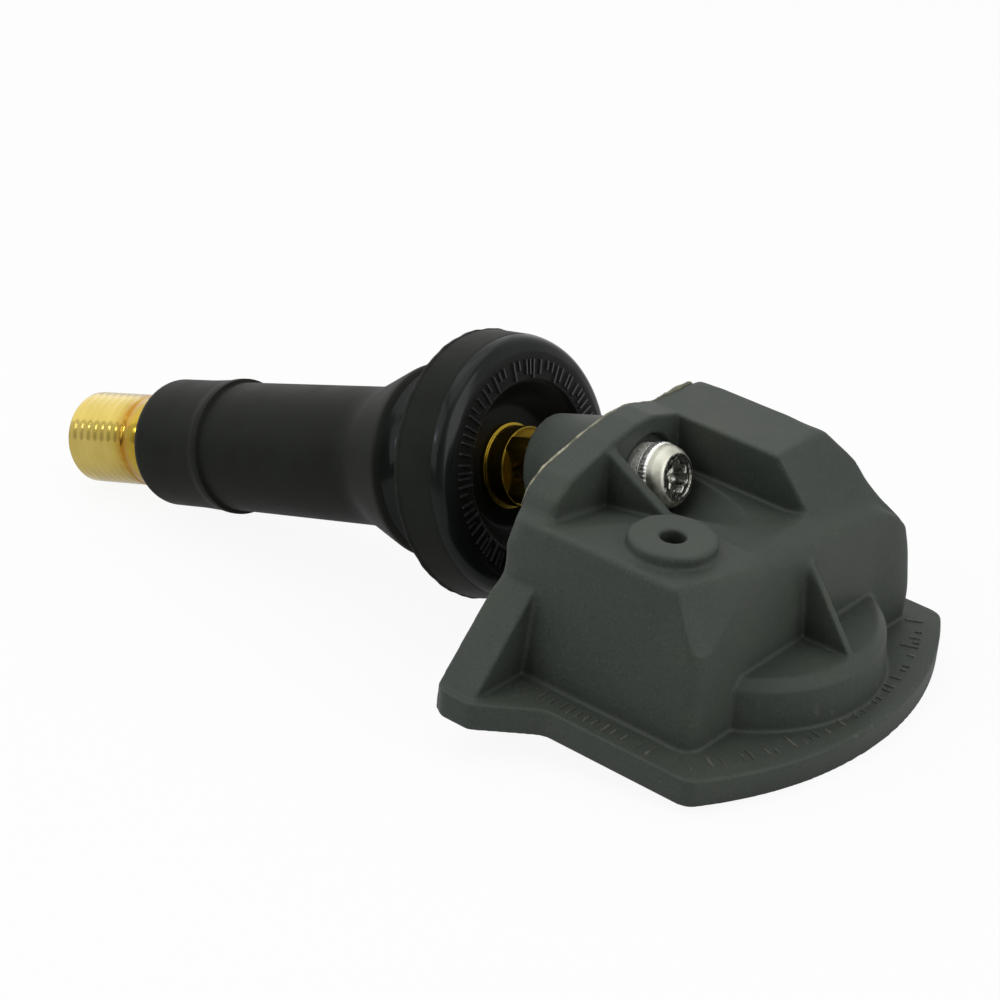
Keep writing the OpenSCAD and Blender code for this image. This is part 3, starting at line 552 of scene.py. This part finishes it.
def soften(mesh):
    """Evens out the mesh by each place's number of passes, and gives its points."""
    count = len(mesh.vertices)
    co = np.empty(count * 3)
    mesh.vertices.foreach_get("co", co)
    co = co.reshape(-1, 3)
    fill_out(co)
    ends = np.empty(len(mesh.edges) * 2, dtype=np.int64)
    mesh.edges.foreach_get("vertices", ends)
    ends = ends.reshape(-1, 2)
    need = passes_wanted(co)
    links_of = np.bincount(ends.ravel(), minlength=count)
    for k in range(int(need.max())):
        if k % 8 == 0:
            # The edges that still matter, found anew only now and then
            busy = need > k
            near = ends[busy[ends[:, 0]] | busy[ends[:, 1]]]
        total = np.zeros_like(co)
        for axis in range(3):
            total[:, axis] = np.bincount(near[:, 0], co[near[:, 1], axis], count)
            total[:, axis] += np.bincount(near[:, 1], co[near[:, 0], axis], count)
        moving = need > k
        mean = total[moving] / links_of[moving, None]
        co[moving] += 0.5 * (mean - co[moving])
    mesh.vertices.foreach_set("co", co.ravel())
    mesh.update()
    return co


def build_housing():
    """The softened housing; gives its points before thinning, in the plate rig."""
    piece = copy_of("housing", "housing_shell", "housing_plastic")
    piece.data.transform(PLATE_RIG.inverted())
    voxels = piece.modifiers.new("voxels", "REMESH")
    voxels.mode = "VOXEL"
    voxels.voxel_size = VOXEL
    applied(piece)
    co = soften(piece.data)
    thin = piece.modifiers.new("thin", "DECIMATE")
    thin.ratio = min(1.0, HOUSING_TRIANGLES / (2 * len(piece.data.polygons)))
    applied(piece)
    piece.data.transform(PLATE_RIG)
    piece.data.polygons.foreach_set("use_smooth", [True] * len(piece.data.polygons))
    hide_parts("housing")
    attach(piece, "sensor")
    return co


# Flash on the edge of the stem wall: the wall's x, and a fan of angles about a centre
FLASH_X, FLASH_CENTRE_Z = 8.4, 9.0
FLASH_FROM, FLASH_TO, FLASH_STEP = -68, 51.5, 1.2
FLASH_SIDES = 6


def crest_path(co):
    """Angles about the flash's centre, each with how far out the wall's edge stands there."""
    edge = co[np.abs(co[:, 0] - FLASH_X - 0.12) < 0.14]
    turn = np.degrees(np.arctan2(edge[:, 1], edge[:, 2] - FLASH_CENTRE_Z))
    reach = np.hypot(edge[:, 1], edge[:, 2] - FLASH_CENTRE_Z)
    angles, outs = [], []
    for angle in np.arange(FLASH_FROM, FLASH_TO, FLASH_STEP):
        near = np.abs(turn - angle) < FLASH_STEP / 2
        if near.any():
            angles.append(angle)
            outs.append(float(reach[near].max()))
    evened = []
    for i in range(len(outs)):
        around = outs[max(0, i - 1):i + 2]
        evened.append(sum(around) / len(around))
    return list(zip(angles, evened))


def flash_line(co):
    """The pale parting line along the crest, thicker at its far end, which dives in."""
    rng = random.Random(7)
    path = crest_path(co)
    last = len(path) - 1
    verts, faces = [], []
    for i, (angle, out) in enumerate(path):
        at_ends = max(0.2, min(1.0, i / 8, (last - i) / 2))
        late = min(1.0, max(0.0, (angle - 30) / 12))
        size = (0.062 + 0.045 * rng.random()) * at_ends * (1 + 0.9 * late)
        sunk = 0.06 + 0.12 * (1 - min(1.0, (last - i) / 2))
        a = math.radians(angle)
        for k in range(FLASH_SIDES):
            b = 2 * math.pi * k / FLASH_SIDES
            r = out - sunk + size * math.cos(b)
            x = FLASH_X + 0.06 + 1.3 * size * math.sin(b)
            verts.append((x, r * math.sin(a), FLASH_CENTRE_Z + r * math.cos(a)))
    for i in range(last):
        faces += ring_faces(i, i + 1, FLASH_SIDES)
    faces.append(tuple(reversed(range(FLASH_SIDES))))
    faces.append(tuple(last * FLASH_SIDES + k for k in range(FLASH_SIDES)))
    piece = new_piece("parting_flash", verts, faces, PLATE_RIG, ["flash_plastic"])
    finish_mesh(piece)
    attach(piece, "sensor")


# Plain bars in place of marks

# How far a bar's foot is sunk, and its top's share of its width
BAR_SUNK, BAR_TOP = 0.05, 0.6


def bar(centre, way, up, length, width, height):
    """Corners and faces of a small raised bar with a narrower top."""
    side = up.cross(way).normalized()
    verts = []
    for lift, shrink in ((-BAR_SUNK, 1.0), (height, BAR_TOP)):
        for a, b in ((-1, -1), (1, -1), (1, 1), (-1, 1)):
            point = centre + way * a * (length / 2 - (1 - shrink) * width / 2)
            verts.append(point + side * b * width / 2 * shrink + up * lift)
    faces = [
        (3, 2, 1, 0), (4, 5, 6, 7), (0, 1, 5, 4), (1, 2, 6, 5), (2, 3, 7, 6), (3, 0, 4, 7),
    ]
    return verts, faces


def bars_piece(name, bars, rig, look):
    """One piece of many bars, each given by what bar() takes."""
    verts, faces = [], []
    for spec in bars:
        more, sides = bar(*spec)
        faces += [tuple(i + len(verts) for i in face) for face in sides]
        verts += more
    piece = new_piece(name, verts, faces, rig, [look], smooth=False)
    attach(piece, "sensor")


def spoke(degrees):
    a = math.radians(degrees)
    return Vector((math.cos(a), math.sin(a), 0))


# Ticks on the plate: an arc along its far end and a row along its near edge
ARC_CENTRE_X, ARC_R = 4.9, 26.4
ARC_FROM, ARC_TO = -33.0, 34
ROW_FROM, ROW_TO, ROW_Y = 12.6, 24.4, -14.85
LONGEST_TICK = 1.4
TICK_WIDTH, TICK_HEIGHT = 0.28, 0.08


def plate_marks():
    """Plain ticks where the plate carries its marks."""
    rng = random.Random(11)
    up = Vector((0, 0, 1))
    bars = []
    degrees = ARC_FROM
    while degrees < ARC_TO:
        way = spoke(degrees)
        length = rng.choice((0.6, 0.9, 1.2, LONGEST_TICK))
        middle = Vector((ARC_CENTRE_X, 0, PLATE_T)) + way * (ARC_R + (LONGEST_TICK - length) / 2)
        bars.append((middle, way, up, length, TICK_WIDTH, TICK_HEIGHT))
        degrees += rng.choice((1.4, 2.0, 2.8, 3.4))
    x = ROW_FROM
    while x < ROW_TO:
        middle = Vector((x, ROW_Y, PLATE_T))
        length = rng.choice((0.8, 1.2))
        bars.append((middle, Vector((0, 1, 0)), up, length, TICK_WIDTH, TICK_HEIGHT))
        x += rng.choice((0.7, 0.95, 1.3))
    bars_piece("plate_ticks", bars, PLATE_RIG, "mark_plastic")


# Rubber body

FACE_S = -0.9
# The uneven moulding line round the flange, and the least radius that it reaches
RIM_S, RIM_WIDTH, RIM_R = 3.35, 0.22, 9.8
RUBBER_LOOKS = ["rubber_matte", "rubber_gloss", "rubber_face_and_shade"]
MATTE, GLOSS, FACE = range(3)


def build_rubber():
    """Flange, rim groove, snap-in bulge, cone, stem and raised ring, turned in one."""
    line = rounded([
        (1.3, 3.12, 0), (1.3, 4.7, 0.3), (0.6, 5.5, 0.5), (-0.7, 6.4, 0.2), (FACE_S, 6.6, 0.15),
        (FACE_S, 8.6, 0.3), (-0.6, 9.55, 0.45), (0.2, 9.97, 0.6), (3.1, 10.22, 0.12),
        (3.2, 10.3, 0.05), (3.45, 10.3, 0.06), (3.6, 10.15, 0.08), (3.7, 9.7, 0.2),
        (4.35, 7.5, 0.35), (4.75, 6.85, 0.4), (5.3, 6.65, 0.3), (6.7, 6.65, 0.3), (7.35, 6.95, 0.3),
        (7.9, 7.4, 0.25), (8.25, 7.6, 0.2), (8.75, 7.48, 0.25), (13.0, 5.65, 1.6),
        (14.2, 5.48, 0.6), (RIDGE - 0.8, 5.28, 0.2), (RIDGE - 0.2, 5.28, 0.05),
        (RIDGE - 0.04, 5.58, 0.06), (RIDGE + 0.5, 5.58, 0.25), (RIDGE + 1.1, 5.44, 0.4),
        (RIDGE + 3.6, 5.31, 0.8), (37.5, 5.28, 0.3), (37.9, 5.1, 0.15), (38.1, 4.9, 0.1),
        (38.1, 3.75, 0),
    ])

    def look_at(s, r):
        # The face and its hollow take the darker rubber: partly its own black, partly painted shade
        if s < 2.5 and r < 8.7:
            return FACE
        return GLOSS if s < 0.15 or 4.0 < s < 7.7 else MATTE

    def wobble(s, r, a):
        rim = math.exp(-((s - RIM_S) / RIM_WIDTH) ** 2) if r > RIM_R else 0
        return 0, 0.03 * rim * (math.sin(23 * a) + 0.7 * math.sin(51 * a + 1) - 0.6)

    piece = lathe("rubber_sleeve", line, RUBBER_LOOKS, look_at, 224, wobble=wobble)
    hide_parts("rubber_body")
    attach(piece, "sensor")


# Ribs on the flange's face: where they end outside, and their size
RIB_OUT_R = 8.15
RIB_WIDTH, RIB_HEIGHT = 0.2, 0.16
LAST_RIB = 352


def flange_marks():
    """Plain radial ribs on the flange's face, in lighter rubber that paints their glint."""
    rng = random.Random(5)
    up = Vector((0, 0, -1))
    bars = []
    degrees = 0.0
    while degrees < LAST_RIB:
        way = spoke(degrees)
        length = rng.choice((0.8, 1.2, 1.5, 1.5))
        centre = way * (RIB_OUT_R - length / 2) + Vector((0, 0, FACE_S))
        bars.append((centre, way, up, length, RIB_WIDTH, RIB_HEIGHT))
        degrees += rng.choice((3.1, 4.4, 4.4, 6.0))
    bars_piece("flange_ribs", bars, VALVE_RIG, "rubber_ribs_painted_glint")


# Brass stem: its distances are along the valve from the flange's front edge

THREAD_PITCH, THREAD_DEPTH, THREAD_CREST = 0.86, 0.018, 47.3
THREAD_LOW, THREAD_HIGH = 41.1, VALVE_LENGTH - 0.35
# Spacing of the thread's rings of points, a twelfth of its pitch
THREAD_STEP = 0.0717
BARE_FROM = VALVE_LENGTH - 10
# Where the tip and the collar end inside the rubber
HIDDEN_S = 12.0
BORE_R, HIDDEN_R = 1.5, 3.1
# Where the turned collar ends and the CAD's squared inner end is kept
CUT_S = -0.65


def threaded_tip():
    """The bare brass with its thread, the mouth and the core's bore."""
    def wobble(s, r, a):
        if r < THREAD_R - 0.05 or s < THREAD_LOW or s > THREAD_HIGH:
            return 0, 0
        run_in = min(1.0, (s - THREAD_LOW) / 0.5)
        phase = ((s - THREAD_CREST) / THREAD_PITCH - a / (2 * math.pi)) % 1
        return 0, -THREAD_DEPTH * run_in * (0.5 - 0.5 * math.cos(2 * math.pi * phase))

    tip = VALVE_LENGTH
    outside = [
        (37.2, 3.4), (BARE_FROM, 3.6), (BARE_FROM + 0.2, 3.8), (BARE_FROM + 0.3, THREAD_R),
        (40.35, THREAD_R), (40.5, 3.82), (40.6, 3.80), (40.95, 3.80), (41.05, 3.83),
    ]
    s = THREAD_LOW - THREAD_STEP
    while s < tip - TIP_CHAMFER - THREAD_STEP:
        s += THREAD_STEP
        outside.append((s, THREAD_R))
    outside += [(tip - 0.25, THREAD_R - 0.1), (tip - 0.06, THREAD_R - 0.3), (tip, THREAD_R - 0.45)]
    inside = [
        (tip, 2.95), (tip - 0.1, 2.78), (tip - 0.3, 2.7), (41.5, 2.7), (40.6, 2.1), (33.4, 2.1),
        (33.4, BORE_R), (HIDDEN_S, BORE_R), (HIDDEN_S, HIDDEN_R),
    ]
    line = outside + inside
    return lathe("stem_thread", line, ["stem_brass"], segments=200, closed=True, wobble=wobble)


def stem_collar():
    """The round collar and ring in the flange's hollow."""
    line = rounded([
        (CUT_S - 0.03, BORE_R, 0), (CUT_S - 0.03, 3.02, 0.02), (CUT_S, 3.05, 0.02),
        (0.86, 3.05, 0.04), (0.92, 3.28, 0.04), (1.46, 3.3, 0.06), (1.56, HIDDEN_R, 0.05),
        (HIDDEN_S, HIDDEN_R, 0), (HIDDEN_S, BORE_R, 0),
    ])
    return lathe("stem_collar", line, ["stem_brass"], closed=True)


def build_stem():
    """Threaded tip and collar turned here, over the CAD's own squared inner end."""
    thread = threaded_tip()
    collar = stem_collar()
    squared = copy_of("valve_stem", "valve_stem_brass", "stem_brass")
    form = bmesh.new()
    form.from_mesh(squared.data)
    bmesh.ops.remove_doubles(form, verts=form.verts, dist=MERGED)
    everything = form.verts[:] + form.edges[:] + form.faces[:]
    cut_at = VALVE_RIG @ Vector((0, 0, CUT_S))
    bmesh.ops.bisect_plane(
        form, geom=everything, plane_co=cut_at, plane_no=TIP_WAY, clear_outer=True
    )
    form.to_mesh(squared.data)
    form.free()
    squared.data.polygons.foreach_set("use_smooth", [False] * len(squared.data.polygons))
    bpy.context.view_layer.update()
    pieces = [squared, thread, collar]
    with bpy.context.temp_override(
        active_object=squared, selected_objects=pieces, selected_editable_objects=pieces
    ):
        bpy.ops.object.join()
    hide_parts("valve_stem")
    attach(squared, "sensor")


# Spring of the valve core


def build_spring():
    """The CAD's spring, as a piece with a mesh of its own."""
    piece = copy_of("core_spring", "core_coil", "spring_steel")
    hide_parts("core_spring")
    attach(piece, "sensor")
    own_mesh(piece)


# Screw and washer

# Places along the valve, from the washer's seat out to the screw's face
WASHER_SEAT, WASHER_T = -11.8, 1.15
WASHER_LOW = WASHER_SEAT - WASHER_T
WASHER_BORE_R, WASHER_R = 1.33, 2.4
HEAD_COLLAR, HEAD_CAP = 0.75, 1.1
HEAD_SEGMENTS = 240
COLLAR_S = WASHER_LOW - HEAD_COLLAR
CAP_S = COLLAR_S - HEAD_CAP
KNURL_LOW, KNURL_HIGH = COLLAR_S + 0.07, WASHER_LOW - 0.09
KNURL_TEETH, KNURL_DEPTH = 52, 0.045
# Star recess: reach of its lobes, and how far in the wall comes between them
LOBE_REACH, LOBE_DEPTH = 1.2, 0.3
LOBES = 6
SCREW_LOOKS = ["screw_nickel", "screw_knurled_and_highlight", "screw_drive_shaded"]
SMOOTH_NICKEL, KNURLED, DRIVE = range(3)


def lobed(k, shrink):
    """Radius of the star recess at segment k."""
    a = 2 * math.pi * k / HEAD_SEGMENTS
    wave = 0.5 + 0.5 * math.cos(LOBES * a)
    return (LOBE_REACH - LOBE_DEPTH + LOBE_DEPTH * wave ** 0.7) * shrink


def knurled(s, r, a):
    if KNURL_LOW < s < KNURL_HIGH:
        r -= KNURL_DEPTH * (0.5 + 0.5 * math.cos(KNURL_TEETH * a + 0.8 * math.sin(7 * a)))
    return r


def build_screw():
    """The head with its knurled side, domed cap and star recess, and a stub of shank."""
    head = rounded([
        (-3.6, 0.0, 0), (-3.6, 0.95, 0.05), (-3.9, 1.25, 0.1), (WASHER_LOW, 1.25, 0),
        (WASHER_LOW, 2.4, 0.08), (WASHER_LOW - 0.1, 2.5, 0.08), (COLLAR_S + 0.14, 2.5, 0.08),
        (COLLAR_S + 0.02, 2.38, 0.06), (COLLAR_S - 0.04, 2.34, 0.05), (CAP_S + 0.6, 2.26, 0.2),
        (CAP_S + 0.35, 2.1, 0.15), (CAP_S + 0.1, 1.88, 0.1), (CAP_S, 1.7, 0.06),
        (CAP_S, 1.56, 0.04), (CAP_S + 0.08, 1.5, 0.05), (CAP_S + 0.08, 1.3, 0),
    ])
    # The ring round the recess: the head's last three rounded corners and its last point
    drive_row = len(head) - 3 * (ROUND_STEPS + 1) - 1
    rows = [[(s, r)] * HEAD_SEGMENTS for s, r in head]
    for depth, shrink in ((0.08, 1.05), (0.14, 1.0), (1.0, 0.97), (1.15, 0.86)):
        rows.append([(CAP_S + depth, lobed(k, shrink)) for k in range(HEAD_SEGMENTS)])
    rows.append([(CAP_S + 1.2, 0.0)] * HEAD_SEGMENTS)
    verts = []
    for row in rows:
        for k, (s, r) in enumerate(row):
            a = 2 * math.pi * k / HEAD_SEGMENTS
            r = knurled(s, r, a)
            verts.append((r * math.cos(a), r * math.sin(a), s))
    faces, face_looks = [], []
    for i in range(len(rows) - 1):
        middle = (rows[i][0][0] + rows[i + 1][0][0]) / 2
        look = KNURLED if KNURL_LOW - 0.06 < middle < KNURL_HIGH + 0.04 else SMOOTH_NICKEL
        # The ring round the recess and the recess take the darker nickel: painted shade
        look = DRIVE if i >= drive_row else look
        faces += ring_faces(i, i + 1, HEAD_SEGMENTS)
        face_looks += [look] * HEAD_SEGMENTS
    piece = new_piece("screw_with_drive", verts, faces, VALVE_RIG, SCREW_LOOKS, face_looks)
    finish_mesh(piece)
    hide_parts("fixing_screw")
    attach(piece, "sensor")


def build_washer():
    """The lock washer, finely serrated round its edge."""
    line = rounded([
        (WASHER_SEAT, WASHER_BORE_R, 0), (WASHER_SEAT, WASHER_R, 0.08),
        (WASHER_LOW, WASHER_R, 0.12), (WASHER_LOW, WASHER_BORE_R, 0.05),
        (WASHER_SEAT, WASHER_BORE_R, 0),
    ])

    def wobble(s, r, a):
        if r < WASHER_R - 0.2:
            return 0, 0
        return 0, -0.01 + 0.006 * math.sin(44 * a)

    piece = lathe("lock_washer_ring", line, ["washer_steel"], segments=264, wobble=wobble)
    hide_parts("lock_washer")
    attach(piece, "sensor")


# Stage, lights and camera

# Share of its own white that the floor shows to the camera, and to mirroring surfaces
FLOOR_WHITE, FLOOR_MIRRORED = 0.92, 0.5
FLOOR_HALF = 4.0
WORLD_LIGHT = 0.32
# The dim side of the room: its direction, where the dimming starts and ends, and its level
DIM_SIDE = Vector((0.1, -0.97, 0.2))
DIM_SPREAD = (0.40, 0.78)
DIM_LEVEL = 0.2
# Name, place and width of each square lamp in metres, its power in watts and its colour
LAMPS = [
    ("key", (-0.42, 0.15, 0.42), 0.95, 1.9, (1, 1, 1)),
    ("fill", (-0.12, -0.44, 0.36), 0.5, 1.15, (1, 1, 1)),
    ("side", (0.50, 0.05, 0.25), 0.4, 1.2, (1, 1, 1)),
    ("top", (0.03, 0.02, 0.60), 0.5, 0.9, (1, 1, 1)),
    ("spark", (-0.30, -0.225, 0.148), 0.04, 0.13, (1, 1, 1)),
    ("window", (-0.10, -0.468, 0.363), 0.035, 0.14, (0.8, 0.92, 1.0)),
]
LAMP_AIM = Vector((0.01, 0, 0))
# The photograph's camera, fitted in the plate rig: its focal length in pixels of a
# picture 1000 wide, its place in millimetres, and the way its axes point
PICTURE_PX = 1000
FOCAL_PX = 2800
SENSOR = 36
CAMERA_PLACE = Vector((111.767, -149.223, 107.379))
CAMERA_RIGHT = Vector((0.76872931, 0.63529698, 0.07384446))
CAMERA_DOWN = Vector((0.35465245, -0.32733797, -0.87582618))
CAMERA_AHEAD = Vector((-0.53223763, 0.69946237, -0.47694392))


def add_camera():
    data = bpy.data.cameras.new("camera")
    data.sensor_width = SENSOR
    data.lens = SENSOR * FOCAL_PX / PICTURE_PX
    data.clip_start = 0.01
    data.clip_end = 20
    camera = in_scene(bpy.data.objects.new("camera", data))
    turn = Matrix((CAMERA_RIGHT, -CAMERA_DOWN, -CAMERA_AHEAD)).transposed()
    rest_turn = Matrix.Rotation(REST_TILT, 3, "Y") @ turn
    camera.matrix_world = Matrix.Translation(PLATE_RIG @ CAMERA_PLACE) @ rest_turn.to_4x4()
    bpy.context.scene.camera = camera


def add_lamp(name, place_at, size, power, color):
    data = bpy.data.lights.new(name, "AREA")
    data.shape = "SQUARE"
    data.size = size
    data.energy = power
    data.color = color
    lamp = in_scene(bpy.data.objects.new(name, data))
    lamp.location = place_at
    lamp.rotation_euler = (LAMP_AIM - Vector(place_at)).to_track_quat("-Z", "Y").to_euler()


def add_stage(floor_z):
    """A white floor that keeps the object's shadow."""
    mat = bpy.data.materials.new("floor_white")
    mat.use_nodes = True
    nt, links = mat.node_tree.nodes, mat.node_tree.links
    shader = nt["Principled BSDF"]
    shader.inputs["Base Color"].default_value = (0.8, 0.8, 0.8, 1)
    shader.inputs["Roughness"].default_value = 0.9
    shader.inputs["Specular IOR Level"].default_value = 0.0
    glow = nt.new("ShaderNodeEmission")
    glow.inputs["Strength"].default_value = 1.0
    direct, sent_on = ray_kinds(nt, links)
    seen = ramp(nt, links, direct, 0, 1, 0, FLOOR_WHITE)
    mirrored = ramp(nt, links, sent_on, 0, 1, 0, FLOOR_MIRRORED)
    share = largest(nt, links, seen, mirrored)
    mixed = nt.new("ShaderNodeMixShader")
    links.new(share, mixed.inputs[0])
    links.new(shader.outputs[0], mixed.inputs[1])
    links.new(glow.outputs[0], mixed.inputs[2])
    links.new(mixed.outputs[0], nt["Material Output"].inputs["Surface"])
    mesh = bpy.data.meshes.new("floor")
    square = ((-1, -1), (1, -1), (1, 1), (-1, 1))
    corners = [(FLOOR_HALF * x, FLOOR_HALF * y, floor_z) for x, y in square]
    mesh.from_pydata(corners, [], [(0, 1, 2, 3)])
    mesh.materials.append(mat)
    floor = in_scene(bpy.data.objects.new("floor", mesh))


def add_world():
    """A white studio that is dim in front of the object."""
    world = bpy.data.worlds.new("studio")
    bpy.context.scene.world = world
    world.use_nodes = True
    nt, links = world.node_tree.nodes, world.node_tree.links
    background = nt["Background"]
    background.inputs["Color"].default_value = (1, 1, 1, 1)
    toward = nt.new("ShaderNodeVectorMath")
    toward.operation = "DOT_PRODUCT"
    toward.inputs[1].default_value = DIM_SIDE
    links.new(place(nt, "Generated"), toward.inputs[0])
    dome = ramp(nt, links, toward.outputs["Value"], *DIM_SPREAD, 1.0, DIM_LEVEL)
    direct, sent_on = ray_kinds(nt, links)
    level = ramp(nt, links, sent_on, 0, 1, WORLD_LIGHT, 1)
    strength = largest(nt, links, multiply(nt, links, dome, level), direct)
    links.new(strength, background.inputs["Strength"])


def build_scene():
    dress_cad_nodes()
    add_camera()
    form = build_housing()
    flash_line(form)
    plate_marks()
    build_rubber()
    flange_marks()
    build_stem()
    build_spring()
    build_screw()
    build_washer()
    add_stage(cad_box[0][2])
    add_world()
    for lamp in LAMPS:
        add_lamp(*lamp)
    bpy.context.scene.view_settings.view_transform = "Standard"


build_scene()
